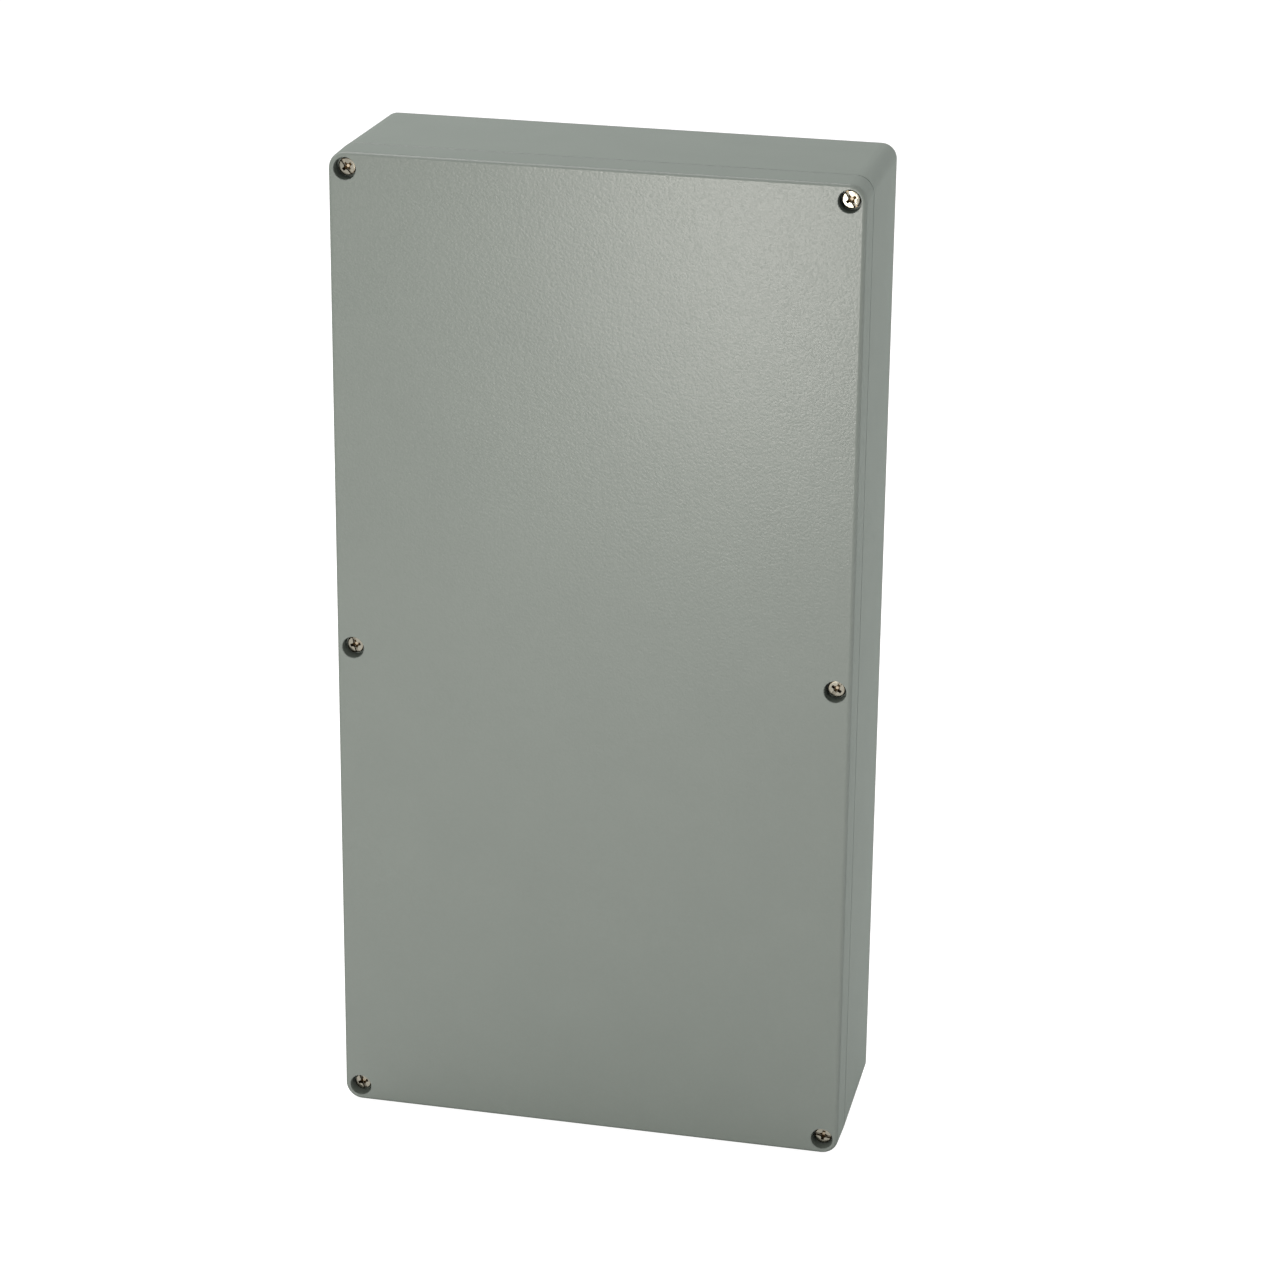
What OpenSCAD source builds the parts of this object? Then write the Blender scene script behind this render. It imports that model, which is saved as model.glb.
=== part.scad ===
// Die-cast aluminium enclosure with a screwed lid, standing upright.
// Each piece is drawn lying on its back, with z rising from the back face to the front of the lid,
// and is then stood up: width along X, front towards -Y, height along Z.

/* [Enclosure] */
// Width at the parting line
body_w = 310; // [240:5:400]
// Height at the parting line
body_h = 600; // [400:10:800]
// Depth from the back face to the front of the lid
body_d = 110; // [90:1:160]
// Depth of the lid
lid_d = 22; // [20:0.5:28]
// Radius of the four long corners at the parting line
corner_r = 10.5; // [9:0.5:11]
// Gap that shows between the rims of lid and base
parting_gap = 0.6; // [0.3:0.1:1]
// Small bevel on both rims at the parting line
rim_bevel = 0.4; // [0.2:0.1:0.8]

/* [Base] */
// Wall at the rim
wall_t = 6.2; // [5.8:0.1:7]
// Thickness of the back
floor_t = 5; // [4:0.5:8]
// How far each side leans in from the rim to the back
base_taper = 1.5; // [0.5:0.1:2.5]
// Radius of the outer back edge
back_edge_r = 3; // [1:0.5:4]
// Radius between the inner floor and the walls
floor_fillet_r = 5; // [2:0.5:6]
// Radius of the inner corners at the rim
cavity_r = 9; // [8:0.5:12]

/* [Lid] */
// Thickness of the front plate
lid_plate_t = 4.5; // [3.5:0.5:6]
// How far each side leans in from the rim to the front
lid_taper = 0.3; // [0.1:0.1:0.6]
// Radius of the front edge
front_edge_r = 2.4; // [1:0.2:2.4]
// Lip on the inner side of the seal groove
lip_w = 2; // [1.5:0.1:3]

/* [Seal] */
// Radius of the seal's detour round a screw or wall fixing
seal_r = 11; // [10.5:0.1:12]
// Radius of the bends where the seal leaves the walls
seal_bend_r = 6; // [5:0.5:8]
// Width of the tongue on the base
tongue_w = 2.2; // [1.8:0.1:2.4]
// Height of the tongue
tongue_h = 2.5; // [2:0.1:3]
// Land between the tongue and the inside of the wall
tongue_land = 0.6; // [0.4:0.1:0.8]
// Width of the groove in the lid
groove_w = 4.4; // [4:0.1:4.6]
// Depth of the groove
groove_d = 5.5; // [4.5:0.1:6]
// Gap between the tongue and the gasket
seal_gap = 0.2; // [0.1:0.05:0.4]
// Gap on each side of the gasket in its groove
gasket_side_gap = 0.1; // [0.05:0.05:0.2]

/* [Cover screws] */
// Distance of the screws from the two nearest edges
screw_inset = 10; // [10:0.1:10.6]
// Thread diameter
screw_d = 6; // [5:0.5:6]
// Diameter of the reduced shank that keeps the screw captive
waist_d = 4.9; // [4:0.1:4.9]
// Diameter of the head
head_d = 10.4; // [9:0.1:11]
// Height of the head
head_h = 3.7; // [3:0.1:4.5]
// How far the head lies below the front of the lid
head_sink = 5.2; // [3:0.1:6]
// Length of thread in the base
screw_grip = 12; // [8:0.5:16]
// Diameter of the counterbore for the head
counterbore_d = 13.2; // [12:0.1:13.4]
// Bevel at the mouth of the counterbore
mouth_bevel = 0.3; // [0.1:0.1:0.3]
// Diameter of the clearance hole in the lid
screw_hole_d = 6.6; // [6.2:0.1:7.2]
// Width of the driving slot
slot_w = 2.1; // [1:0.1:2.4]
// Depth of the driving slot
slot_depth = 1.8; // [1:0.1:2.2]
// Span of the cross recess
cross_span = 6.4; // [4.6:0.1:7]
// Width of the arms of the cross recess
cross_w = 1.8; // [1:0.1:2]
// Depth of the cross recess
cross_depth = 2.4; // [1.5:0.1:2.8]
// Diameter at the mouth of the cone in the middle of the cross recess
core_d = 3.8; // [2.6:0.1:4.4]

/* [Screw rings] */
// Outer diameter of a retaining ring
ring_d = 10; // [9:0.5:11]
// Thickness of a retaining ring
ring_t = 1.4; // [1:0.1:2]

/* [Wall fixing] */
// Distance from a corner screw to its wall fixing hole
wall_hole_step = 20; // [18:0.5:22]
// Diameter of the wall fixing holes
wall_hole_d = 7; // [5:0.5:8]
// Diameter of the channel for the head of the wall screw
wall_channel_d = 13; // [11:0.5:14]
// Metal left under the head of the wall screw
wall_seat_t = 8; // [6:0.5:14]

/* [Plate bosses] */
// Distance of the plate bosses from the sides
plate_inset_x = 55; // [45:1:80]
// Distance of the outer plate bosses from the top and bottom
plate_inset_y = 60; // [50:1:100]
// Diameter of a plate boss
plate_boss_d = 14; // [12:0.5:18]
// Height of a plate boss above the floor
plate_boss_h = 10; // [8:0.5:15]

/* [Earth terminal] */
// Distance of the earth boss from the left edge
earth_x = 85; // [75:1:120]
// Distance of the earth boss from the bottom edge
earth_y = 30; // [25:1:40]
// Diameter of the earth boss
earth_boss_d = 16; // [14:0.5:18]
// Height of the earth boss above the floor
earth_boss_h = 12; // [10:0.5:16]
// Diameter of the earth screw's head
earth_head_d = 11; // [10:0.5:12]
// Height of the earth screw's head
earth_head_h = 4.2; // [3:0.1:5]
// Width of the slot in the earth screw
earth_slot_w = 1.6; // [1:0.1:2]
// Depth of the slot in the earth screw
earth_slot_depth = 2; // [1:0.1:2.4]
// Length of the earth screw's shank
earth_screw_len = 12; // [10:0.5:13]
// Diameter of the plain washer
washer_d = 13; // [12:0.5:14]
// Diameter of the spring washer
spring_washer_d = 11; // [10:0.5:12]
// Thickness of both washers
washer_t = 1.6; // [1:0.1:2]
// Width of the split in the spring washer
washer_split = 1.2; // [0.8:0.1:2]

/* [Fits] */
// Gap all round a screw in its thread, and round a shank in its ring or washer
thread_gap = 0.05; // [0.02:0.01:0.1]
// Gap round a retaining ring in its recess, and between the ring and the base
ring_gap = 0.1; // [0.05:0.05:0.2]

/* [Hidden] */
// Name, side, level and the turn of the driving slot of each cover screw
SCREWS = [
    ["top_left", -1, 1, -52],
    ["top_right", 1, 1, -56],
    ["middle_left", -1, 0, -77],
    ["middle_right", 1, 0, 58],
    ["bottom_left", -1, -1, -70],
    ["bottom_right", 1, -1, -10]
];

coat_colour = [0.54, 0.565, 0.535];
steel_colour = [0.78, 0.77, 0.73];
nylon_colour = [0.88, 0.87, 0.82];
rubber_colour = [0.12, 0.12, 0.12];
brass_colour = [0.76, 0.66, 0.38];

// Overshoot of a cut past the face that it opens in
over = 1;
// Half the point angle of a drilled hole
drill_half_angle = 59;
// Bevel on the tips of screws and the mouths of their holes
thread_bevel = 0.5;
// Bevel on the heads of screws
head_bevel = 0.6;
// Free depth of a threaded hole past the tip of its screw
tap_runout = 3;
// How far the bends and bridges of the seal bite into the outlines that they join
bite = 0.05;
// How far the wall covers the feet of the column bends
bend_cover = 0.2;

base_d = body_d - lid_d;
base_lean = base_taper / base_d;
lid_rim_z = base_d + parting_gap;
lid_wall_d = body_d - lid_rim_z;
lid_lean = lid_taper / lid_wall_d;
groove_floor_z = lid_rim_z + groove_d;
gasket_t = groove_floor_z - base_d - tongue_h - seal_gap;
seal_inset = wall_t - tongue_land - tongue_w / 2;
column_grow = tongue_w / 2 + tongue_land - bend_cover;
head_top_z = body_d - head_sink;
head_seat_z = head_top_z - head_h;
core_lean = (core_d - cross_w) / cross_depth;
screw_tip_z = base_d - screw_grip;
ring_recess_d = ring_t + ring_gap;
// The seat rings bear on the base between the retaining ring and the seal groove
seat_r = seal_r - groove_w / 2 - rim_bevel;
core_w = body_w - 2 * corner_r;
core_h = body_h - 2 * corner_r;
screw_x = body_w / 2 - screw_inset;
screw_y = body_h / 2 - screw_inset;
wall_x = screw_x - wall_hole_step;
// Centre of a bend, seen from its screw: out towards the wall and along it
bend_out = screw_inset - seal_inset - seal_bend_r + bite;
bend_along = sqrt(pow(seal_r + seal_bend_r - bite, 2) - pow(bend_out, 2));
plate_x = body_w / 2 - plate_inset_x;
plate_y = body_h / 2 - plate_inset_y;
earth_place = [earth_x - body_w / 2, earth_y - body_h / 2];
earth_seat_z = floor_t + earth_boss_h;

$fn = 64;

function screw_place(s) = [s[1] * screw_x, s[2] * screw_y];

// Stands a piece up from its drawing position on its back
module stand_up() {
    translate([0, body_d / 2, body_h / 2]) rotate([90, 0, 0]) children();
}

// Edge profile drawn outward from a corner centre: a side that leans out from a rounded lower edge
// to a top edge with an optional bevel
module edge_profile(top_s, height, lean, edge_r, bevel) {
    angle = atan(lean);
    centre_s = top_s - lean * height + edge_r * (lean - 1 / cos(angle));
    tangent = [centre_s + edge_r * cos(angle), edge_r * (1 - sin(angle))];
    top = bevel > 0 ? [[top_s - lean * bevel, height - bevel], [top_s - bevel, height]] : [[top_s, height]];
    polygon(concat([[0, 0], [centre_s, 0], tangent], top, [[0, height]]));
    translate([centre_s, edge_r]) intersection() {
        circle(edge_r);
        translate([0, -2 * edge_r]) square(2 * edge_r);
    }
}

// Solid with a rounded rectangle for its plan and the child profile all round its edge
module edge_swept(plan_w, plan_h, height) {
    translate([-plan_w / 2, -plan_h / 2, 0]) cube([plan_w, plan_h, height]);
    for (turn = [0, 180]) rotate(turn) {
        translate([plan_w / 2, plan_h / 2, 0]) rotate([90, 0, 0]) linear_extrude(plan_h) children();
        rotate(90) translate([plan_h / 2, plan_w / 2, 0]) rotate([90, 0, 0]) linear_extrude(plan_w) children();
        translate([plan_w / 2, plan_h / 2, 0]) rotate_extrude(angle = 90) children();
        translate([-plan_w / 2, plan_h / 2, 0]) rotate(90) rotate_extrude(angle = 90) children();
    }
}

// Fills the corner between a round land and its wall, up to an arc that bends into both
module land_bend(place, outward, along, grow) {
    centre = place + bend_out * outward + bend_along * along;
    at_wall = place + screw_inset * outward;
    difference() {
        polygon([place, centre, at_wall + bend_along * along, at_wall]);
        translate(centre) circle(seal_bend_r - grow);
    }
}

// Lands round the cover screws and wall fixings, all outside the seal
module fixing_lands(grow) {
    land_r = seal_r + grow;
    bridge_h = screw_inset + land_r - bite;
    for (sx = [-1, 1]) {
        translate([sx * screw_x, 0]) circle(land_r);
        for (sy = [-1, 1]) {
            land_bend([sx * screw_x, 0], [sx, 0], [0, sy], grow);
            land_bend([sx * screw_x, sy * screw_y], [sx, 0], [0, -sy], grow);
            land_bend([sx * wall_x, sy * screw_y], [0, sy], [-sx, 0], grow);
            translate([sx * screw_x, sy * screw_y]) circle(land_r);
            translate([sx * wall_x, sy * screw_y]) circle(land_r);
            translate([sx * (screw_x + wall_x) / 2, sy * (body_h - bridge_h) / 2])
                square([wall_hole_step, bridge_h], center = true);
            translate([sx * (screw_x + screw_inset / 2), sy * (screw_y + screw_inset / 2)])
                square(screw_inset, center = true);
        }
    }
}

// Area inside the seal, moved in by grow
module seal_region(grow) {
    difference() {
        square([body_w - 2 * (seal_inset + grow), body_h - 2 * (seal_inset + grow)], center = true);
        fixing_lands(grow);
    }
}

// Closed band along the seal
module seal_band(width) {
    difference() {
        seal_region(-width / 2);
        seal_region(width / 2);
    }
}

// Cut for a drilled and threaded hole that runs down from z = 0
module threaded_hole(depth) {
    hole_r = screw_d / 2 + thread_gap;
    point_h = hole_r / tan(drill_half_angle);
    translate([0, 0, -depth]) cylinder(h = depth + over, r = hole_r);
    translate([0, 0, -depth - point_h]) cylinder(h = point_h, r1 = 0, r2 = hole_r);
    translate([0, 0, -thread_bevel]) cylinder(h = thread_bevel, r1 = hole_r, r2 = hole_r + thread_bevel);
}

// Cut for a wall screw: a hole through the back and a channel for its head
module wall_fixing() {
    translate([0, 0, -over]) cylinder(h = base_d, d = wall_hole_d);
    translate([0, 0, wall_seat_t]) cylinder(h = base_d, d = wall_channel_d);
}

// Inside of the base between the floor and the rim, round the columns
module base_cavity() {
    depth = base_d - floor_t + over;
    inset = wall_t + cavity_r;
    difference() {
        translate([0, 0, floor_t]) edge_swept(body_w - 2 * inset, body_h - 2 * inset, depth)
            edge_profile(cavity_r + base_lean * over, depth, base_lean, floor_fillet_r, 0);
        linear_extrude(base_d + 2 * over) fixing_lands(column_grow);
    }
}

// Boss on the inner floor with a threaded hole
module floor_boss(d, h) {
    difference() {
        cylinder(h = floor_t + h, d = d);
        translate([0, 0, floor_t + h]) threaded_hole(h - thread_bevel);
    }
}

// Cast box with screw columns, wall fixings, floor bosses and the tongue of the seal
module base() {
    color(coat_colour) stand_up() {
        difference() {
            edge_swept(core_w, core_h, base_d)
                edge_profile(corner_r, base_d, base_lean, back_edge_r, rim_bevel);
            base_cavity();
            for (s = SCREWS) translate(screw_place(s)) translate([0, 0, base_d])
                threaded_hole(screw_grip + tap_runout);
            for (sx = [-1, 1], sy = [-1, 1]) translate([sx * wall_x, sy * screw_y]) wall_fixing();
        }
        translate([0, 0, base_d]) linear_extrude(tongue_h) seal_band(tongue_w);
        for (sx = [-1, 1], sy = [-1, 0, 1]) translate([sx * plate_x, sy * plate_y])
            floor_boss(plate_boss_d, plate_boss_h);
        translate(earth_place) floor_boss(earth_boss_d, earth_boss_h);
    }
}

// Cut for a cover screw: counterbore with a bevelled mouth, clearance hole and ring recess
module screw_way() {
    translate([0, 0, head_seat_z]) cylinder(h = body_d - head_seat_z + over, d = counterbore_d);
    translate([0, 0, body_d - mouth_bevel])
        cylinder(h = mouth_bevel, d1 = counterbore_d, d2 = counterbore_d + 2 * mouth_bevel);
    translate([0, 0, base_d - over]) cylinder(h = lid_d, d = screw_hole_d);
    translate([0, 0, base_d - over]) cylinder(h = over + ring_recess_d, r = ring_d / 2 + ring_gap);
}

// Cast cover with six screw bosses, the seal groove and raised seats that meet the base
module lid() {
    color(coat_colour) stand_up() difference() {
        union() {
            translate([0, 0, body_d]) mirror([0, 0, 1]) edge_swept(core_w, core_h, lid_wall_d)
                edge_profile(corner_r, lid_wall_d, lid_lean, front_edge_r, rim_bevel);
            for (s = SCREWS) translate(screw_place(s)) translate([0, 0, base_d])
                cylinder(h = parting_gap + over, r = seat_r);
        }
        translate([0, 0, lid_rim_z - over]) {
            linear_extrude(lid_wall_d - lid_plate_t + over) seal_region(groove_w / 2 + lip_w);
            linear_extrude(groove_d + over) seal_band(groove_w);
        }
        for (s = SCREWS) translate(screw_place(s)) screw_way();
    }
}

// Rubber ring pressed into the groove of the lid
module gasket() {
    color(rubber_colour) stand_up()
        translate([0, 0, groove_floor_z - gasket_t])
        linear_extrude(gasket_t) seal_band(groove_w - 2 * gasket_side_gap);
}

// Captive screw with a cheese head and a combined slot and cross recess
module cover_screw(s) {
    thread_r = screw_d / 2;
    thread_top_z = base_d - thread_bevel;
    color(steel_colour) stand_up() translate(screw_place(s)) rotate(s[3]) difference() {
        rotate_extrude() polygon([
            [0, screw_tip_z],
            [thread_r - thread_bevel, screw_tip_z],
            [thread_r, screw_tip_z + thread_bevel],
            [thread_r, thread_top_z - (screw_d - waist_d) / 2],
            [waist_d / 2, thread_top_z],
            [waist_d / 2, head_seat_z],
            [head_d / 2, head_seat_z],
            [head_d / 2, head_top_z - head_bevel],
            [head_d / 2 - head_bevel, head_top_z],
            [0, head_top_z]
        ]);
        translate([0, 0, head_top_z - slot_depth / 2 + over / 2])
            cube([head_d + over, slot_w, slot_depth + over], center = true);
        for (turn = [0, 90]) translate([0, 0, head_top_z - cross_depth / 2 + over / 2]) rotate(turn)
            cube([cross_span, cross_w, cross_depth + over], center = true);
        translate([0, 0, head_top_z - cross_depth])
            cylinder(h = cross_depth + over, d1 = cross_w, d2 = core_d + core_lean * over);
    }
}

// Nylon ring that keeps a cover screw in the lid
module screw_ring(s) {
    color(nylon_colour) stand_up() translate(screw_place(s)) translate([0, 0, base_d + ring_gap])
        difference() {
            cylinder(h = ring_t, d = ring_d);
            translate([0, 0, -over]) cylinder(h = ring_t + 2 * over, r = waist_d / 2 + thread_gap);
        }
}

// Flat washer round the earth screw
module flat_ring(d) {
    difference() {
        cylinder(h = washer_t, d = d);
        translate([0, 0, -over]) cylinder(h = washer_t + 2 * over, r = screw_d / 2 + thread_gap);
    }
}

module earth_washer() {
    color(brass_colour) stand_up() translate(earth_place) translate([0, 0, earth_seat_z]) flat_ring(washer_d);
}

module earth_spring_washer() {
    color(steel_colour) stand_up() translate(earth_place) translate([0, 0, earth_seat_z + washer_t])
        difference() {
            flat_ring(spring_washer_d);
            translate([0, -washer_split / 2, -over]) cube([spring_washer_d, washer_split, washer_t + 2 * over]);
        }
}

// Brass screw with a slotted cheese head
module earth_screw() {
    seat_z = earth_seat_z + 2 * washer_t;
    top_z = seat_z + earth_head_h;
    tip_z = seat_z - earth_screw_len;
    color(brass_colour) stand_up() translate(earth_place) difference() {
        rotate_extrude() polygon([
            [0, tip_z],
            [screw_d / 2 - thread_bevel, tip_z],
            [screw_d / 2, tip_z + thread_bevel],
            [screw_d / 2, seat_z],
            [earth_head_d / 2, seat_z],
            [earth_head_d / 2, top_z - head_bevel],
            [earth_head_d / 2 - head_bevel, top_z],
            [0, top_z]
        ]);
        translate([0, 0, top_z - earth_slot_depth / 2 + over / 2])
            cube([earth_head_d + over, earth_slot_w, earth_slot_depth + over], center = true);
    }
}

base();
lid();
gasket();
for (s = SCREWS) {
    cover_screw(s);
    screw_ring(s);
}
earth_washer();
earth_spring_washer();
earth_screw();
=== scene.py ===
import math

import bmesh
import bpy
from mathutils import Matrix, Vector


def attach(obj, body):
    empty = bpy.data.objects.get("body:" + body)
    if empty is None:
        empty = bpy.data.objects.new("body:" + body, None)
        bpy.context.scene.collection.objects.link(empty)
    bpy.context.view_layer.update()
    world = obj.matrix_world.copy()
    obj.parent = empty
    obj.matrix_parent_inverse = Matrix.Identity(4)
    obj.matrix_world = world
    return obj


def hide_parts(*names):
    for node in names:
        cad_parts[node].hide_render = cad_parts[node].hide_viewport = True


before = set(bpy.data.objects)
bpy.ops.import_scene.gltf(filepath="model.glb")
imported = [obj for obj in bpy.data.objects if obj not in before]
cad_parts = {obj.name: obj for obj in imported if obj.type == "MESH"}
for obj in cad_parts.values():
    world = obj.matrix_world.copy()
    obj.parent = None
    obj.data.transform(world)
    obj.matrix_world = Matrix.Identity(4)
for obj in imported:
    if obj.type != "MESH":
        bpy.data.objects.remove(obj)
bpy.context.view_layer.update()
scene = bpy.context.scene
scene.view_settings.view_transform = "Standard"

# Base: a deep tray of die-cast aluminium with drafted walls, its screw columns and bosses cast in with it.
# It is powder coated in grey green, inside and out. The threads are cut and the boss tops faced after the
# coating, so these are bare metal.
COAT_COLOUR = (0.2225, 0.2555, 0.2295)
COAT_SHADE = (0.2015, 0.2325, 0.209)
COAT_ROUGHNESS = 0.275
DULLED_FROM = 0.45
DULLED_SPREAD = 0.2
COAT_GLOSS = 0.5
GLOSS_FADES_FROM = 0.17
GLOSS_GONE_AT = 0.45
GRAIN_SIZE = 0.0015
GRAIN_DEPTH = 0.00009
GRAIN_SHARE = 0.4
CLOUD_SIZE = 0.04
CLOUD_SHARE = 0.6
BARE_ALUMINIUM = (0.63, 0.635, 0.64)
BARE_ADDED_ROUGHNESS = 0.06
BODY_MIDDLE_Z = 0.3
BACK_Y = 0.055
BACK_COAT_T = 0.0005
COVER_SCREW_X = 0.145
COVER_SCREW_STEP_Z = 0.29
PLATE_BOSS_X = 0.1
PLATE_BOSS_STEP_Z = 0.24
PLATE_BOSS_TOP_Y = 0.04
PLATE_FACE_R = 0.0068
EARTH_X = -0.07
EARTH_Z = 0.03
EARTH_BOSS_TOP_Y = 0.038
EARTH_FACE_R = 0.0078
FACED_BAND = 0.0001
TAPPED_R = 0.00308
THREAD_PITCH = 0.001
THREAD_RELIEF = 8.0
NOISE_LOW = 0.3
NOISE_HIGH = 0.7


def add_node(tree, kind, settings=None, inputs=None):
    """A node with its settings. An input is a value, or a socket to link from."""
    made = tree.nodes.new(kind)
    for name, value in (settings or {}).items():
        setattr(made, name, value)
    for name, value in (inputs or {}).items():
        if isinstance(value, bpy.types.NodeSocket):
            tree.links.new(value, made.inputs[name])
        else:
            made.inputs[name].default_value = value
    return made


def calc(tree, operation, a, b=0.0, c=0.0):
    """The output of one Math node."""
    return add_node(tree, "ShaderNodeMath", {"operation": operation}, {0: a, 1: b, 2: c}).outputs[0]


def ranged(tree, value, low, high, to_low, to_high, clamp=True):
    """A value carried from one range to another."""
    made = add_node(tree, "ShaderNodeMapRange", {"clamp": clamp},
                    {"Value": value, "From Min": low, "From Max": high, "To Min": to_low, "To Max": to_high})
    return made.outputs["Result"]


def noise(tree, place, scale, detail, roughness=0.5):
    """The value of a noise at a place, with its scale in cells a metre."""
    made = add_node(tree, "ShaderNodeTexNoise", None,
                    {"Vector": place, "Scale": scale, "Detail": detail, "Roughness": roughness})
    return made.outputs["Fac"]


def blend_colours(tree, share, first, second):
    """The colour output of a Mix node. A plain colour has three numbers."""
    ends = [end if isinstance(end, bpy.types.NodeSocket) else (*end, 1) for end in (first, second)]
    mix = add_node(tree, "ShaderNodeMix", {"data_type": "RGBA"}, {0: share, 6: ends[0], 7: ends[1]})
    return mix.outputs[2]


def raised(tree, height, depth, strength=1.0):
    """The normal of a surface that a height from 0 to 1 raises by a depth."""
    made = add_node(tree, "ShaderNodeBump", None, {"Height": height, "Distance": depth, "Strength": strength})
    return made.outputs["Normal"]


def feed(shader, sockets):
    """Links sockets to the inputs of a shader."""
    for name, socket in sockets.items():
        shader.id_data.links.new(socket, shader.inputs[name])


def new_group(name, inputs, outputs):
    """An empty shader group with named sockets, and its two end nodes."""
    group = bpy.data.node_groups.new(name, "ShaderNodeTree")
    for socket, kind, value in inputs:
        made = group.interface.new_socket(socket, in_out="INPUT", socket_type=kind)
        if value is not None:
            made.default_value = value
    for socket, kind in outputs:
        group.interface.new_socket(socket, in_out="OUTPUT", socket_type=kind)
    return group, group.nodes.new("NodeGroupInput").outputs, group.nodes.new("NodeGroupOutput").inputs


def new_material(name):
    """A material with a bare Principled shader, its tree, that shader and the Object coordinates."""
    made = bpy.data.materials.new(name)
    made.use_nodes = True
    tree = made.node_tree
    tree.nodes.clear()
    shader = add_node(tree, "ShaderNodeBsdfPrincipled")
    end = add_node(tree, "ShaderNodeOutputMaterial", None, {"Surface": shader.outputs["BSDF"]})
    end.is_active_output = True
    return made, tree, shader, add_node(tree, "ShaderNodeTexCoord").outputs["Object"]


# Powder flows out as it bakes and leaves a skin of fine pebbles, with its colour a little uneven over a few
# centimetres.
powder_skin, given, result = new_group(
    "powder_skin",
    [("Place", "NodeSocketVector", None), ("Grain Size", "NodeSocketFloat", GRAIN_SIZE),
     ("Cloud Size", "NodeSocketFloat", CLOUD_SIZE)],
    [("Height", "NodeSocketFloat"), ("Shade", "NodeSocketFloat")])
pebbles = noise(powder_skin, given["Place"], calc(powder_skin, "DIVIDE", 1.0, given["Grain Size"]), 1.0)
clouds = noise(powder_skin, given["Place"], calc(powder_skin, "DIVIDE", 1.0, given["Cloud Size"]), 1.0)
cloud_shade = calc(powder_skin, "MULTIPLY", clouds, CLOUD_SHARE)
shade = calc(powder_skin, "MULTIPLY_ADD", pebbles, GRAIN_SHARE, cloud_shade)
powder_skin.links.new(pebbles, result["Height"])
powder_skin.links.new(shade, result["Shade"])


def coat_casting(name):
    """Powder coat on a casting: its material, tree, shader, place, colour, roughness and height. The tops of
    the pebbles are dulled. The pebbles hide one another at a low angle, so the gloss fades there."""
    made, tree, shader, place = new_material(name)
    skin = add_node(tree, "ShaderNodeGroup", {"node_tree": powder_skin}, {"Place": place}).outputs
    colour = blend_colours(tree, skin["Shade"], COAT_SHADE, COAT_COLOUR)
    tops = calc(tree, "MAXIMUM", skin["Height"], DULLED_FROM)
    rough = calc(tree, "MULTIPLY_ADD", tops, DULLED_SPREAD, COAT_ROUGHNESS - DULLED_FROM * DULLED_SPREAD)
    facing = add_node(tree, "ShaderNodeLayerWeight").outputs["Facing"]
    gloss = ranged(tree, facing, GLOSS_FADES_FROM, GLOSS_GONE_AT, COAT_GLOSS, 0.0)
    feed(shader, {"Specular IOR Level": gloss})
    return made, tree, shader, place, colour, rough, skin["Height"]


def near_axis(tree, across, along, at_across, at_along, radius):
    """1 within a radius of an axis that runs front to back, 0 outside it."""
    a = calc(tree, "SUBTRACT", across, at_across)
    b = calc(tree, "SUBTRACT", along, at_along)
    squares = calc(tree, "ADD", calc(tree, "MULTIPLY", a, a), calc(tree, "MULTIPLY", b, b))
    return calc(tree, "LESS_THAN", calc(tree, "SQRT", squares), radius)


base_finish, tree, shader, place, colour, rough, height = coat_casting("coated_base")
spot = add_node(tree, "ShaderNodeSeparateXYZ", None, {0: place}).outputs
side = calc(tree, "ABSOLUTE", spot["X"])
level = calc(tree, "ABSOLUTE", calc(tree, "SUBTRACT", spot["Z"], BODY_MIDDLE_Z))
bare = near_axis(tree, spot["X"], spot["Z"], EARTH_X, EARTH_Z, TAPPED_R)
for at_side, at_level in ((COVER_SCREW_X, COVER_SCREW_STEP_Z), (COVER_SCREW_X, 0.0),
                          (PLATE_BOSS_X, PLATE_BOSS_STEP_Z), (PLATE_BOSS_X, 0.0)):
    bare = calc(tree, "MAXIMUM", bare, near_axis(tree, side, level, at_side, at_level, TAPPED_R))
bare = calc(tree, "MULTIPLY", bare, calc(tree, "LESS_THAN", spot["Y"], BACK_Y - BACK_COAT_T))
thread = calc(tree, "SINE", calc(tree, "MULTIPLY", spot["Y"], 2 * math.pi / THREAD_PITCH))
thread = calc(tree, "MULTIPLY", thread, THREAD_RELIEF)
for across, along, at_across, at_along, top, radius in (
        (side, level, PLATE_BOSS_X, PLATE_BOSS_STEP_Z, PLATE_BOSS_TOP_Y, PLATE_FACE_R),
        (side, level, PLATE_BOSS_X, 0.0, PLATE_BOSS_TOP_Y, PLATE_FACE_R),
        (spot["X"], spot["Z"], EARTH_X, EARTH_Z, EARTH_BOSS_TOP_Y, EARTH_FACE_R)):
    faced = near_axis(tree, across, along, at_across, at_along, radius)
    on_top = calc(tree, "COMPARE", spot["Y"], top, FACED_BAND)
    bare = calc(tree, "MAXIMUM", bare, calc(tree, "MULTIPLY", faced, on_top))
relief = calc(tree, "MULTIPLY_ADD", bare, calc(tree, "SUBTRACT", thread, height), height)
feed(shader, {"Base Color": blend_colours(tree, bare, colour, BARE_ALUMINIUM),
              "Roughness": calc(tree, "MULTIPLY_ADD", bare, BARE_ADDED_ROUGHNESS, rough),
              "Metallic": bare, "Normal": raised(tree, relief, GRAIN_DEPTH)})
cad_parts["base"].material_slots[0].material = base_finish

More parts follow.
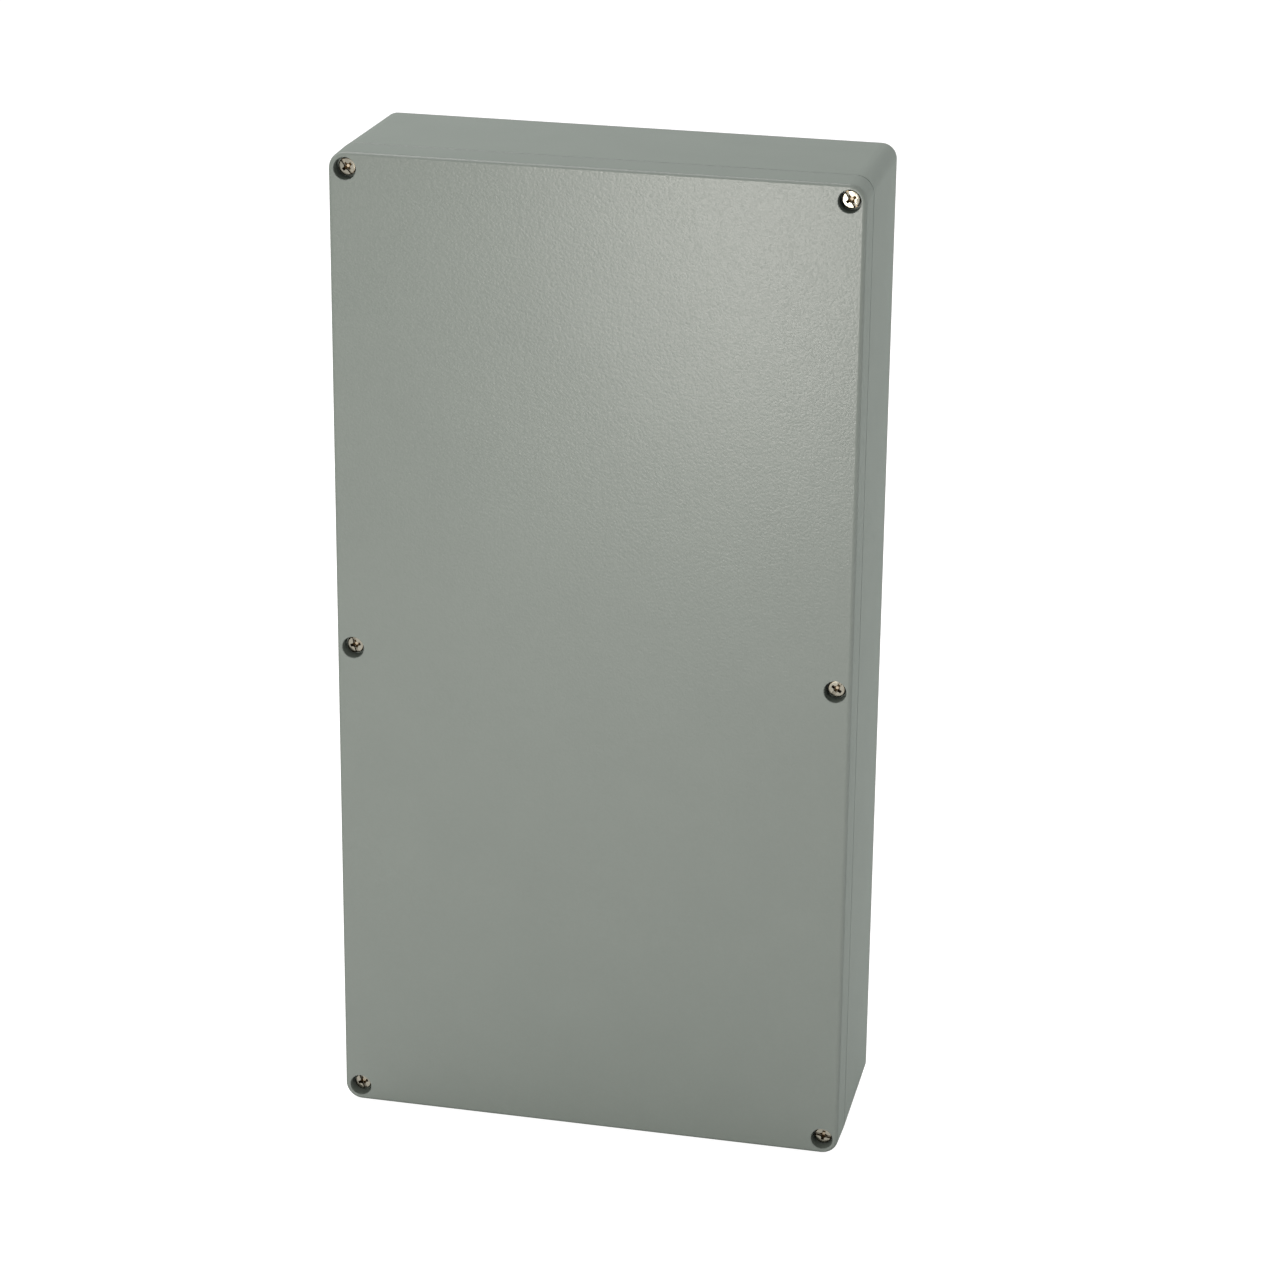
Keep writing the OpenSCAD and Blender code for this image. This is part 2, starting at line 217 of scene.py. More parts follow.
# Earth terminal: a brass cheese-head screw with a plain washer and a steel spring washer under it, run into
# the tapped boss in the floor of the base. All are turned or stamped, and bright.
BRASS = (0.68, 0.49, 0.22)
BRASS_DULL = (0.52, 0.36, 0.15)
BRASS_ROUGHNESS = (0.2, 0.36)
STEEL = (0.66, 0.645, 0.61)
STEEL_DULL = (0.5, 0.475, 0.43)
STAMPED_ROUGHNESS = (0.28, 0.42)
LATHE_PITCH = 0.00015
LATHE_DEPTH = 0.000004
STAMP_PITCH = 0.0004
STAMP_DEPTH = 0.000006
RUBS_PER_M = 900.0
WASHER_T = 0.0016
EARTH_SEAT_Y = EARTH_BOSS_TOP_Y - 2 * WASHER_T
EARTH_HEAD_R = 0.0055
EARTH_HEAD_H = 0.0042
EARTH_HEAD_ROUND = 0.0006
EARTH_SLOT_L = 0.014
EARTH_SLOT_W = 0.0016
EARTH_SLOT_DEPTH = 0.002
EARTH_SCREW_L = 0.012
EARTH_THREAD_FOOT = 0.0003
EARTH_PLAIN_L = 0.0008
EARTH_TURN = math.radians(28)
THREAD_ROOT_R = 0.00242
THREAD_R = 0.00298
TIP_BEVEL = 0.0005
FOOT_BEVEL = 0.0002

# Fine rings that a lathe tool leaves round an axis, with a few rubbed streaks.
turned_face, given, result = new_group(
    "turned_face",
    [("Place", "NodeSocketVector", None), ("Ring Pitch", "NodeSocketFloat", LATHE_PITCH)],
    [("Height", "NodeSocketFloat"), ("Rub", "NodeSocketFloat")])
axes = add_node(turned_face, "ShaderNodeSeparateXYZ", None, {0: given["Place"]}).outputs
squares = calc(turned_face, "ADD", calc(turned_face, "MULTIPLY", axes["X"], axes["X"]),
               calc(turned_face, "MULTIPLY", axes["Y"], axes["Y"]))
out_and_up = calc(turned_face, "ADD", calc(turned_face, "SQRT", squares), axes["Z"])
ring_place = calc(turned_face, "DIVIDE", out_and_up, given["Ring Pitch"])
rings = add_node(turned_face, "ShaderNodeTexNoise", {"noise_dimensions": "1D"},
                 {"W": ring_place, "Scale": 1.0, "Detail": 2.0})
turned_face.links.new(rings.outputs["Fac"], result["Height"])
turned_face.links.new(noise(turned_face, given["Place"], RUBS_PER_M, 3.0), result["Rub"])


def finish_metal(tree, shader, marks, bright, dull, smooth, coarse, depth):
    """Colour, roughness and tool marks of bright metal. The rubbed streaks are bright and smooth."""
    shader.inputs["Metallic"].default_value = 1.0
    feed(shader, {"Base Color": blend_colours(tree, marks["Rub"], dull, bright),
                  "Roughness": ranged(tree, marks["Rub"], NOISE_LOW, NOISE_HIGH, coarse, smooth),
                  "Normal": raised(tree, marks["Height"], depth)})


def turned_metal(name, bright, dull, smooth, coarse):
    """Bright turned metal that reads its place from the piece's own axis."""
    made, tree, shader = new_material(name)[:3]
    own = add_node(tree, "ShaderNodeAttribute", {"attribute_name": "turned_place"}).outputs["Vector"]
    marks = add_node(tree, "ShaderNodeGroup", {"node_tree": turned_face}, {"Place": own}).outputs
    finish_metal(tree, shader, marks, bright, dull, smooth, coarse, LATHE_DEPTH)
    return made, tree, shader, own


def stamped_metal(name, bright, dull, middle):
    """The same metal on a washer: its axis is a place in the enclosure."""
    made, tree, shader, place = new_material(name)
    centred = add_node(tree, "ShaderNodeMapping", {"vector_type": "TEXTURE"},
                       {"Vector": place, "Location": middle, "Rotation": (math.radians(90), 0, 0)})
    marks = add_node(tree, "ShaderNodeGroup", {"node_tree": turned_face},
                     {"Place": centred.outputs["Vector"], "Ring Pitch": STAMP_PITCH}).outputs
    finish_metal(tree, shader, marks, bright, dull, *STAMPED_ROUGHNESS, STAMP_DEPTH)
    return made


def vector(tree, x=0.0, y=0.0, z=0.0):
    """The output of a Combine XYZ node."""
    return add_node(tree, "ShaderNodeCombineXYZ", None, {"X": x, "Y": y, "Z": z}).outputs[0]


def moved(tree, geometry, place=(0, 0, 0), turn=(0, 0, 0)):
    """Geometry turned about the origin and then put in its place."""
    made = add_node(tree, "GeometryNodeTransform", None,
                    {"Geometry": geometry, "Translation": place, "Rotation": turn})
    return made.outputs[0]


# The screw's half outline is spun round its axis, its recess is cut, its thread is wound on, and it is turned
# and put in its hole. The outline comes in as the object's own line of points, with the head's seat at zero.
turned_screw = bpy.data.node_groups.new("turned_screw", "GeometryNodeTree")
SCREW_SIZES = {}
for name, kind, value in (
        ("Outline", "NodeSocketGeometry", None),
        ("Facets", "NodeSocketInt", 64),
        ("Head Top", "NodeSocketFloat", 0.004),
        ("Slot Length", "NodeSocketFloat", 0.012),
        ("Slot Width", "NodeSocketFloat", 0.002),
        ("Slot Depth", "NodeSocketFloat", 0.0018),
        ("Cross Recess", "NodeSocketBool", True),
        ("Cross Span", "NodeSocketFloat", 0.006),
        ("Cross Width", "NodeSocketFloat", 0.0018),
        ("Cross Depth", "NodeSocketFloat", 0.0024),
        ("Cross Taper", "NodeSocketFloat", 0.7),
        ("Core Width", "NodeSocketFloat", 0.0038),
        ("Thread Foot", "NodeSocketFloat", -0.02),
        ("Thread Length", "NodeSocketFloat", 0.01),
        ("Thread Root", "NodeSocketFloat", THREAD_ROOT_R),
        ("Thread Outside", "NodeSocketFloat", THREAD_R),
        ("Thread Pitch", "NodeSocketFloat", THREAD_PITCH),
        ("Turn", "NodeSocketFloat", 0.0),
        ("Place", "NodeSocketVector", None),
        ("Finish", "NodeSocketMaterial", None)):
    made = turned_screw.interface.new_socket(name, in_out="INPUT", socket_type=kind)
    if value is not None:
        made.default_value = value
    SCREW_SIZES[name] = made.identifier
turned_screw.interface.new_socket("Screw", in_out="OUTPUT", socket_type="NodeSocketGeometry")
given = turned_screw.nodes.new("NodeGroupInput").outputs
result = turned_screw.nodes.new("NodeGroupOutput").inputs

# Blank: the outline swept round a small circle that its own points are set in by.
SPIN_R = 0.001
WELD = 0.000002
outline = add_node(turned_screw, "GeometryNodeMeshToCurve", None, {"Mesh": given["Outline"]}).outputs[0]
laid = moved(turned_screw, outline, (-SPIN_R, 0, 0), (math.radians(90), 0, 0))
circle = add_node(turned_screw, "GeometryNodeCurvePrimitiveCircle", None,
                  {"Resolution": given["Facets"], "Radius": SPIN_R})
spun = add_node(turned_screw, "GeometryNodeCurveToMesh", None,
                {"Curve": circle.outputs[0], "Profile Curve": laid})
blank = add_node(turned_screw, "GeometryNodeMergeByDistance", None,
                 {"Geometry": spun.outputs[0], "Distance": WELD})

# Recess: a slot right across the head, and a cross of two wings that narrow towards their foot round a cone.
# The wings thin less than they shorten. The cone's two ends are shares of the core's width.
THINNING = 0.4
CORE_TOP = 0.73
CORE_FOOT = 0.27
CORE_SIDES = 24
head_top = vector(turned_screw, z=given["Head Top"])
twice_slot = calc(turned_screw, "MULTIPLY", given["Slot Depth"], 2.0)
slot_size = vector(turned_screw, given["Slot Length"], given["Slot Width"], twice_slot)
slot = add_node(turned_screw, "GeometryNodeMeshCube", None, {"Size": slot_size})
slot = moved(turned_screw, slot.outputs["Mesh"], head_top)
twice_cross = calc(turned_screw, "MULTIPLY", given["Cross Depth"], 2.0)
wing_size = vector(turned_screw, given["Cross Span"], given["Cross Width"], twice_cross)
wing = add_node(turned_screw, "GeometryNodeMeshCube", None, {"Size": wing_size})
at = add_node(turned_screw, "GeometryNodeInputPosition").outputs[0]
deep = add_node(turned_screw, "ShaderNodeSeparateXYZ", None, {0: at}).outputs["Z"]
foot = calc(turned_screw, "MULTIPLY", given["Cross Depth"], -1.0)
narrow = ranged(turned_screw, deep, foot, 0.0, given["Cross Taper"], 1.0, clamp=False)
thinner = calc(turned_screw, "MULTIPLY_ADD", narrow, THINNING, 1 - THINNING)
drawn_in = add_node(turned_screw, "ShaderNodeVectorMath", {"operation": "MULTIPLY"},
                    {0: at, 1: vector(turned_screw, narrow, thinner, 1.0)})
wing = add_node(turned_screw, "GeometryNodeSetPosition", None,
                {"Geometry": wing.outputs["Mesh"], "Position": drawn_in.outputs[0]})
wings = add_node(turned_screw, "GeometryNodeJoinGeometry")
for quarter in (0.0, math.radians(90)):
    turned_screw.links.new(moved(turned_screw, wing.outputs[0], head_top, (0, 0, quarter)), wings.inputs[0])
core_top = calc(turned_screw, "MULTIPLY", given["Core Width"], CORE_TOP)
core_end = calc(turned_screw, "MULTIPLY", given["Core Width"], CORE_FOOT)
core = add_node(turned_screw, "GeometryNodeMeshCone", None,
                {"Vertices": CORE_SIDES, "Radius Top": core_top, "Radius Bottom": core_end,
                 "Depth": twice_cross})
core_foot = vector(turned_screw, z=calc(turned_screw, "SUBTRACT", given["Head Top"], given["Cross Depth"]))
turned_screw.links.new(moved(turned_screw, core.outputs["Mesh"], core_foot), wings.inputs[0])
cross = add_node(turned_screw, "GeometryNodeSwitch", {"input_type": "GEOMETRY"},
                 {"Switch": given["Cross Recess"], "True": wings.outputs[0]})
cut = add_node(turned_screw, "GeometryNodeMeshBoolean", {"operation": "DIFFERENCE", "solver": "EXACT"},
               {"Mesh 1": blank.outputs[0], "Mesh 2": slot, "Self Intersection": True})
turned_screw.links.new(cross.outputs[0], cut.inputs["Mesh 2"])

# Thread: a ridge wound up the shank, which runs out at both ends. Its corners are shares of its height and of
# the pitch.
RIDGE = ((-0.2, 0.46), (1.0, 0.07), (1.0, -0.07), (-0.2, -0.46))
RUN_OUT_TURNS = 0.6
RUN_OUT_END = 0.05
winds = calc(turned_screw, "DIVIDE", given["Thread Length"], given["Thread Pitch"])
helix = add_node(turned_screw, "GeometryNodeCurveSpiral", None,
                 {"Resolution": 32, "Rotations": winds, "Start Radius": given["Thread Root"],
                  "End Radius": given["Thread Root"], "Height": given["Thread Length"], "Reverse": True})
upright = add_node(turned_screw, "GeometryNodeSetCurveNormal", {"mode": "Z_UP"}, {"Curve": helix.outputs[0]})
rise = calc(turned_screw, "SUBTRACT", given["Thread Outside"], given["Thread Root"])
corners = {}
for number, (out_share, along_share) in enumerate(RIDGE, 1):
    corners["Point %d" % number] = vector(turned_screw, calc(turned_screw, "MULTIPLY", rise, out_share),
                                          calc(turned_screw, "MULTIPLY", given["Thread Pitch"], along_share))
ridge = add_node(turned_screw, "GeometryNodeCurvePrimitiveQuadrilateral", {"mode": "POINTS"}, corners)
along = add_node(turned_screw, "GeometryNodeSplineParameter").outputs["Factor"]
to_end = calc(turned_screw, "MINIMUM", along, calc(turned_screw, "SUBTRACT", 1.0, along))
turns_to_end = calc(turned_screw, "MULTIPLY", to_end, winds)
run_out = ranged(turned_screw, turns_to_end, 0.0, RUN_OUT_TURNS, RUN_OUT_END, 1.0)
thread = add_node(turned_screw, "GeometryNodeCurveToMesh", None,
                  {"Curve": upright.outputs[0], "Profile Curve": ridge.outputs[0], "Scale": run_out,
                   "Fill Caps": True})
thread = moved(turned_screw, thread.outputs[0], vector(turned_screw, z=given["Thread Foot"]))

# The finished screw keeps its own upright place as an attribute, and then goes into its hole.
whole = add_node(turned_screw, "GeometryNodeJoinGeometry", None, {0: cut.outputs["Mesh"]})
turned_screw.links.new(thread, whole.inputs[0])
marked = add_node(turned_screw, "GeometryNodeStoreNamedAttribute",
                  {"data_type": "FLOAT_VECTOR", "domain": "POINT"},
                  {"Geometry": whole.outputs[0], "Name": "turned_place", "Value": at})
turned = moved(turned_screw, marked.outputs[0], turn=vector(turned_screw, z=given["Turn"]))
placed = moved(turned_screw, turned, given["Place"], (math.radians(90), 0, 0))
solid = add_node(turned_screw, "GeometryNodeRealizeInstances", None, {0: placed})
finished = add_node(turned_screw, "GeometryNodeSetMaterial", None,
                    {"Geometry": solid.outputs[0], "Material": given["Finish"]})
turned_screw.links.new(finished.outputs[0], result["Screw"])


def rounded_edge(head_r, head_h, radius, steps=5):
    """Points of a head's outline from the middle of its top round its edge."""
    points = [(0, head_h)]
    middle_r = head_r - radius
    middle_h = head_h - radius
    for step in range(steps + 1):
        angle = math.radians(90 - 90 * step / steps)
        points.append((middle_r + radius * math.cos(angle), middle_h + radius * math.sin(angle)))
    return points


def make_screw(name, body, node, slot, outline, **sizes):
    """One screw as a plain mesh in its hole, in place of its CAD node."""
    line = bpy.data.meshes.new(name + "_outline")
    line.from_pydata([(r, 0, z) for r, z in outline], [(k, k + 1) for k in range(len(outline) - 1)], [])
    drawn = bpy.data.objects.new(name + "_outline", line)
    scene.collection.objects.link(drawn)
    tool = drawn.modifiers.new("turned_screw", "NODES")
    tool.node_group = turned_screw
    for size, value in sizes.items():
        tool[SCREW_SIZES[size.replace("_", " ")]] = value
    mesh = bpy.data.meshes.new_from_object(drawn.evaluated_get(bpy.context.evaluated_depsgraph_get()))
    bpy.data.objects.remove(drawn)
    bpy.data.meshes.remove(line)
    mesh.name = name
    mesh.shade_smooth()
    mesh.set_sharp_from_angle(angle=math.radians(32))
    piece = bpy.data.objects.new(name, mesh)
    scene.collection.objects.link(piece)
    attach(piece, body)
    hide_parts(node)


brass_finish, tree, shader, own = turned_metal("turned_brass", BRASS, BRASS_DULL, *BRASS_ROUGHNESS)
earth_outline = rounded_edge(EARTH_HEAD_R, EARTH_HEAD_H, EARTH_HEAD_ROUND)
earth_outline += [(EARTH_HEAD_R, FOOT_BEVEL), (EARTH_HEAD_R - FOOT_BEVEL, 0), (THREAD_ROOT_R, 0),
                  (THREAD_ROOT_R, TIP_BEVEL - EARTH_SCREW_L), (THREAD_ROOT_R - TIP_BEVEL, -EARTH_SCREW_L),
                  (0, -EARTH_SCREW_L)]
make_screw("earth_screw_turned", "base", "earth_screw", "brass", earth_outline, Head_Top=EARTH_HEAD_H,
           Slot_Length=EARTH_SLOT_L, Slot_Width=EARTH_SLOT_W, Slot_Depth=EARTH_SLOT_DEPTH, Cross_Recess=False,
           Thread_Foot=EARTH_THREAD_FOOT - EARTH_SCREW_L, Thread_Length=EARTH_SCREW_L - EARTH_PLAIN_L,
           Turn=EARTH_TURN, Place=(EARTH_X, EARTH_SEAT_Y, EARTH_Z), Finish=brass_finish)
earth_middle = (EARTH_X, EARTH_BOSS_TOP_Y, EARTH_Z)
washer_finish = stamped_metal("stamped_brass", BRASS, BRASS_DULL, earth_middle)
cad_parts["earth_washer"].material_slots[0].material = washer_finish
spring_finish = stamped_metal("spring_steel", STEEL, STEEL_DULL, earth_middle)
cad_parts["earth_spring_washer"].material_slots[0].material = spring_finish

# Lid: a shallow die-cast tray in the same aluminium and coat, held on by six screws sunk in its counterbores.
# The seal groove runs round its inner face.
lid_finish, tree, shader, place, colour, rough, height = coat_casting("coated_lid")
feed(shader, {"Base Color": colour, "Roughness": rough, "Normal": raised(tree, height, GRAIN_DEPTH)})
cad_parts["lid"].material_slots[0].material = lid_finish

# Seal: a closed ring of black rubber, pressed into the groove of the lid. It is moulded in one piece, and the
# mould rounds off its free edges.
RUBBER = (0.022, 0.022, 0.023)
RUBBER_BLOOM = (0.045, 0.045, 0.047)
RUBBER_ROUGHNESS = (0.55, 0.72)
BLOOMS_PER_M = 120.0
PORES_PER_M = 2500.0
PORE_DEPTH = 0.00001
PORE_STRENGTH = 0.8
SEAL_ROUND = 0.0006
rubber_finish, tree, shader, place = new_material("moulded_rubber")
bloom = noise(tree, place, BLOOMS_PER_M, 4.0, 0.6)
pores = noise(tree, place, PORES_PER_M, 2.0)
feed(shader, {"Base Color": blend_colours(tree, bloom, RUBBER, RUBBER_BLOOM),
              "Roughness": ranged(tree, bloom, NOISE_LOW, NOISE_HIGH, *RUBBER_ROUGHNESS),
              "Normal": raised(tree, pores, PORE_DEPTH, PORE_STRENGTH)})
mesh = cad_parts["gasket"].data.copy()
mesh.name = "rubber_seal"
shape = bmesh.new()
shape.from_mesh(mesh)
bmesh.ops.remove_doubles(shape, verts=shape.verts, dist=WELD)
bmesh.ops.dissolve_limit(shape, angle_limit=math.radians(1), verts=shape.verts, edges=shape.edges)
shape.to_mesh(mesh)
shape.free()
mesh.materials.clear()
mesh.materials.append(rubber_finish)
seal = bpy.data.objects.new("rubber_seal", mesh)
scene.collection.objects.link(seal)
mould_round = seal.modifiers.new("mould_round", "BEVEL")
mould_round.width = SEAL_ROUND
mould_round.segments = 3
mould_round.limit_method = "ANGLE"
mould_round.angle_limit = math.radians(50)
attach(seal, "lid")
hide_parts("gasket")

# Screw retaining rings: stamped from natural nylon sheet, pushed over each screw's thread on to its waist, so
# that the screws stay in the lid when it comes off.
NYLON = (0.71, 0.69, 0.62)
NYLON_SHADE = (0.62, 0.59, 0.51)
NYLON_ROUGHNESS = (0.34, 0.46)
NYLON_CLOUDS_PER_M = 260.0
SHEET_GRAINS_PER_M = 1800.0
SHEET_DEPTH = 0.000008
SHEET_STRENGTH = 0.7
nylon_finish, tree, shader, place = new_material("natural_nylon")
cloud = noise(tree, place, NYLON_CLOUDS_PER_M, 3.0)
sheet = noise(tree, place, SHEET_GRAINS_PER_M, 2.0)
feed(shader, {"Base Color": blend_colours(tree, cloud, NYLON_SHADE, NYLON),
              "Roughness": ranged(tree, cloud, NOISE_LOW, NOISE_HIGH, *NYLON_ROUGHNESS),
              "Normal": raised(tree, sheet, SHEET_DEPTH, SHEET_STRENGTH)})
for name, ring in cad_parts.items():
    if name.startswith("screw_ring_"):
        ring.material_slots[0].material = nylon_finish

# Cover screws: turned from steel and nickel plated, with a waist that the retaining ring grips. The head is
# for a blade or a cross driver. Each was left at its own turn when it was run down.
NICKEL = (0.34, 0.325, 0.272)
NICKEL_DULL = (0.225, 0.208, 0.164)
NICKEL_ROUGHNESS = (0.13, 0.2)
# Painted glint: a lighter nickel at the foot of the cross.
PAINTED_GLINT_NICKEL = (0.44, 0.37, 0.275)
# Painted shade for the walls of the recess, dark and tinted brown.
RECESS_PAINTED_SHADE = (0.05, 0.031, 0.013)
RECESS_ADDED_ROUGHNESS = 0.35
SHADE_RAMP_DEPTH = 0.0026
# Where the painted shade falls, by depth below the head's top: none on the face, full on the slot's walls,
# none on its floor, full on the cross's walls.
PAINTED_SHADE_STOPS = ((0.05, 0.0), (0.12, 1.0), (0.64, 1.0), (0.68, 0.0), (0.71, 0.0), (0.75, 1.0))
FACE_BAND = 0.03
GLINT_BELOW = 0.88
# Painted shade on the head's rounded edge and side, which sit in the counterbore's shadow.
RIM_PAINTED_SHADE = 0.85
FRONT_Y = -0.055
HEAD_R = 0.0052
HEAD_H = 0.0037
HEAD_SINK = 0.0052
HEAD_ROUND = 0.0005
HEAD_SEAT_Y = FRONT_Y + HEAD_SINK + HEAD_H
RIM_W = 0.0006
SLOT_L = 0.012
SLOT_W = 0.0021
SLOT_DEPTH = 0.0018
CROSS_SPAN = 0.0064
CROSS_W = 0.0018
CROSS_DEPTH = 0.0024
CORE_D = 0.0038
CORE_FOOT_R = 0.0009
WAIST_R = 0.00245
WAIST_ROUND = 0.0003
WAIST_FOOT = -0.0136
NECK_H = 0.0002
SCREW_TIP = -0.0251
THREAD_FOOT = 0.0004
PLAIN_L = 0.0008
steel_finish, tree, shader, own = turned_metal("plated_steel_turned", NICKEL, NICKEL_DULL, *NICKEL_ROUGHNESS)
plate = shader.inputs["Base Color"].links[0].from_socket
plate_rough = shader.inputs["Roughness"].links[0].from_socket
up = add_node(tree, "ShaderNodeSeparateXYZ", None, {0: own}).outputs["Z"]
flat = add_node(tree, "ShaderNodeVectorMath", {"operation": "MULTIPLY"}, {0: own, 1: (1, 1, 0)})
length = add_node(tree, "ShaderNodeVectorMath", {"operation": "LENGTH"}, {0: flat.outputs[0]})
from_axis = length.outputs["Value"]

# The walls of the recess and the edge of the head are darkened with painted shade, tinted brown. The slot's
# floor keeps the plate's colour, and the foot of the cross gets a painted glint, a lighter nickel.
below_top = calc(tree, "DIVIDE", calc(tree, "SUBTRACT", HEAD_H, up), SHADE_RAMP_DEPTH)
# Painted shade by depth: the walls of the recess darken.
painted_shade = add_node(tree, "ShaderNodeValToRGB", None, {0: below_top})
stops = painted_shade.color_ramp.elements
for at_depth, share in PAINTED_SHADE_STOPS:
    stops.new(at_depth).color = (share, share, share, 1)
stops[0].color = (0, 0, 0, 1)
in_head = calc(tree, "MULTIPLY", calc(tree, "LESS_THAN", from_axis, HEAD_R - RIM_W),
               calc(tree, "GREATER_THAN", up, FOOT_BEVEL))
at_foot = calc(tree, "MULTIPLY", calc(tree, "LESS_THAN", from_axis, CORE_FOOT_R),
               calc(tree, "GREATER_THAN", below_top, GLINT_BELOW))
# Painted glint at the foot of the cross.
painted_glint = calc(tree, "MULTIPLY", at_foot, in_head)
# Painted shade on the head's edge.
rim_painted_shade = calc(tree, "MULTIPLY", calc(tree, "GREATER_THAN", from_axis, HEAD_R - RIM_W), RIM_PAINTED_SHADE)
painted_shade = calc(tree, "MAXIMUM", calc(tree, "MULTIPLY", painted_shade.outputs["Color"], in_head), rim_painted_shade)
# The plate darkened by the painted shade in the recess and on the head's edge.
plate_with_painted_shade = blend_colours(tree, painted_shade, plate, RECESS_PAINTED_SHADE)
below_face = calc(tree, "MULTIPLY", calc(tree, "GREATER_THAN", below_top, FACE_BAND), in_head)
# The painted glint lightens the foot of the cross.
feed(shader, {"Base Color": blend_colours(tree, painted_glint, plate_with_painted_shade, PAINTED_GLINT_NICKEL),
              "Roughness": calc(tree, "MULTIPLY_ADD", below_face, RECESS_ADDED_ROUGHNESS, plate_rough)})
screw_outline = rounded_edge(HEAD_R, HEAD_H, HEAD_ROUND)
screw_outline += [(HEAD_R, FOOT_BEVEL), (HEAD_R - FOOT_BEVEL, 0), (WAIST_R + WAIST_ROUND, 0),
                  (WAIST_R, -WAIST_ROUND), (WAIST_R, WAIST_FOOT), (THREAD_ROOT_R, WAIST_FOOT - NECK_H),
                  (THREAD_ROOT_R, SCREW_TIP + TIP_BEVEL), (THREAD_ROOT_R - TIP_BEVEL, SCREW_TIP),
                  (0, SCREW_TIP)]
for name, side, level, turn in (
        ("cover_screw_top_left", -1, 1, -52), ("cover_screw_top_right", 1, 1, -56),
        ("cover_screw_middle_left", -1, 0, -77), ("cover_screw_middle_right", 1, 0, 58),
        ("cover_screw_bottom_left", -1, -1, -70), ("cover_screw_bottom_right", 1, -1, -10)):
    hole = (side * COVER_SCREW_X, HEAD_SEAT_Y, BODY_MIDDLE_Z + level * COVER_SCREW_STEP_Z)
    make_screw(name.replace("cover", "plated"), name, name, "plated_steel", screw_outline,
               Head_Top=HEAD_H, Slot_Length=SLOT_L, Slot_Width=SLOT_W, Slot_Depth=SLOT_DEPTH,
               Cross_Recess=True, Cross_Span=CROSS_SPAN, Cross_Width=CROSS_W, Cross_Depth=CROSS_DEPTH,
               Core_Width=CORE_D, Thread_Foot=SCREW_TIP + THREAD_FOOT,
               Thread_Length=WAIST_FOOT - SCREW_TIP - PLAIN_L, Turn=math.radians(turn), Place=hole,
               Finish=steel_finish)

# Floor: a wide white table. The camera and bright metal see it white, and it keeps a faint shadow under the
# enclosure.
FLOOR_R = 14.0
TABLE_GREY = 0.8
SHOWN_GREY = 0.25
SHOWN_GLOW = 0.93


def seen_or_mirrored(tree):
    """1 where a surface is seen, straight or in metal or glass, and 0 where it only lights others."""
    path = add_node(tree, "ShaderNodeLightPath").outputs
    mirrored = calc(tree, "MAXIMUM", path["Is Glossy Ray"], path["Is Transmission Ray"])
    return calc(tree, "MAXIMUM", path["Is Camera Ray"], mirrored)


floor_finish, tree, shader, place = new_material("white_table")
table = add_node(tree, "ShaderNodeBsdfDiffuse", None, {"Color": (TABLE_GREY, TABLE_GREY, TABLE_GREY, 1)})
shown = add_node(tree, "ShaderNodeBsdfDiffuse", None, {"Color": (SHOWN_GREY, SHOWN_GREY, SHOWN_GREY, 1)})
glow = add_node(tree, "ShaderNodeEmission", None, {"Color": (1, 1, 1, 1), "Strength": SHOWN_GLOW})
lifted = add_node(tree, "ShaderNodeAddShader", None, {0: shown.outputs[0], 1: glow.outputs[0]})
either = add_node(tree, "ShaderNodeMixShader", None,
                  {0: seen_or_mirrored(tree), 1: table.outputs[0], 2: lifted.outputs[0]})
end = shader.outputs["BSDF"].links[0].to_node
tree.links.new(either.outputs[0], end.inputs["Surface"])
tree.nodes.remove(shader)
mesh = bpy.data.meshes.new("white_table")
shape = bmesh.new()
bmesh.ops.create_circle(shape, cap_ends=True, radius=FLOOR_R, segments=96)
shape.to_mesh(mesh)
shape.free()
mesh.materials.append(floor_finish)
floor = bpy.data.objects.new("white_table", mesh)
scene.collection.objects.link(floor)

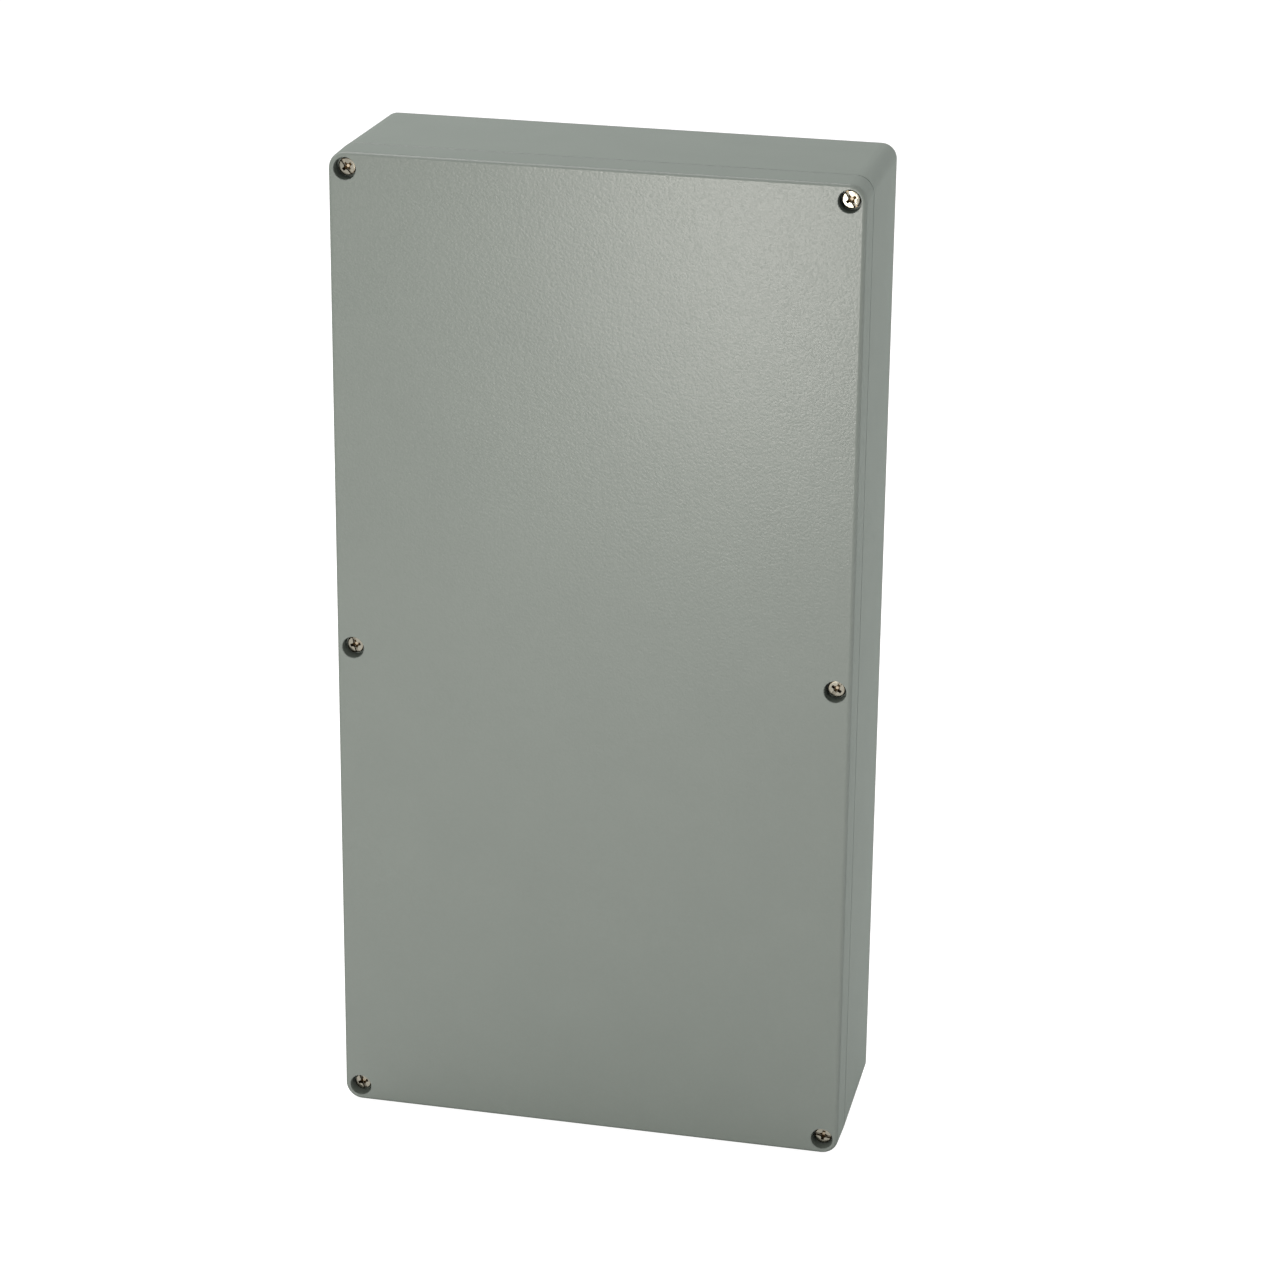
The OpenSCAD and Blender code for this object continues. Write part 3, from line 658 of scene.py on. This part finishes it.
# Light: a white room, a warm strip soft box close in front that the lid mirrors, a large one high on the left
# and one low on the right, both a little behind.
ROOM_LIGHT = 0.2
room = bpy.data.worlds.new("white_room")
scene.world = room
room.use_nodes = True
tree = room.node_tree
tree.nodes.clear()
even = add_node(tree, "ShaderNodeBackground", None, {"Color": (1, 1, 1, 1), "Strength": ROOM_LIGHT})
white = add_node(tree, "ShaderNodeBackground", None, {"Color": (1, 1, 1, 1), "Strength": 1.0})
either = add_node(tree, "ShaderNodeMixShader", None,
                  {0: seen_or_mirrored(tree), 1: even.outputs[0], 2: white.outputs[0]})
add_node(tree, "ShaderNodeOutputWorld", None, {"Surface": either.outputs[0]})


def soft_box(name, place, aim, size, watts, colour):
    """A flat lamp that looks at a point, outside the picture."""
    lamp = bpy.data.lights.new(name, "AREA")
    lamp.shape = "RECTANGLE"
    lamp.size, lamp.size_y = size
    lamp.energy = watts
    lamp.color = colour
    made = bpy.data.objects.new(name, lamp)
    made.visible_camera = False
    made.location = place
    made.rotation_euler = (Vector(aim) - Vector(place)).to_track_quat("-Z", "Y").to_euler()
    scene.collection.objects.link(made)


soft_box("strip_box", place=(-0.131, -1.2, 0.54), aim=(-0.131, 0, 0.54), size=(0.225, 0.93), watts=7.7,
         colour=(1, 0.96, 0.91))
soft_box("left_box", place=(-1.3, 0.8, 2.5), aim=(0, 0, BODY_MIDDLE_Z), size=(2.8, 2.8), watts=109,
         colour=(1, 0.945, 0.965))
soft_box("right_box", place=(1.82, 1.82, 0.75), aim=(0, 0, BODY_MIDDLE_Z), size=(2.0, 1.3), watts=70,
         colour=(1, 0.945, 0.97))

# Camera: a long lens above and to the right of the front. Its own right, up and back directions and its place
# come from the lines of the enclosure in the photograph.
LENS_MM = 107.46
SENSOR_MM = 36.0
RIGHT = (0.97427783, 0.22513979, 0.00973573)
UP = (-0.08871999, 0.34349977, 0.93495276)
BACK = (0.20715085, -0.9117675, 0.35463861)
EYE = (0.489301, -2.079367, 1.108735)
camera_data = bpy.data.cameras.new("camera")
camera_data.sensor_width = SENSOR_MM
camera_data.lens = LENS_MM
camera = bpy.data.objects.new("camera", camera_data)
scene.collection.objects.link(camera)
camera.matrix_world = Matrix([*zip(RIGHT, UP, BACK, EYE), (0, 0, 0, 1)])
scene.camera = camera
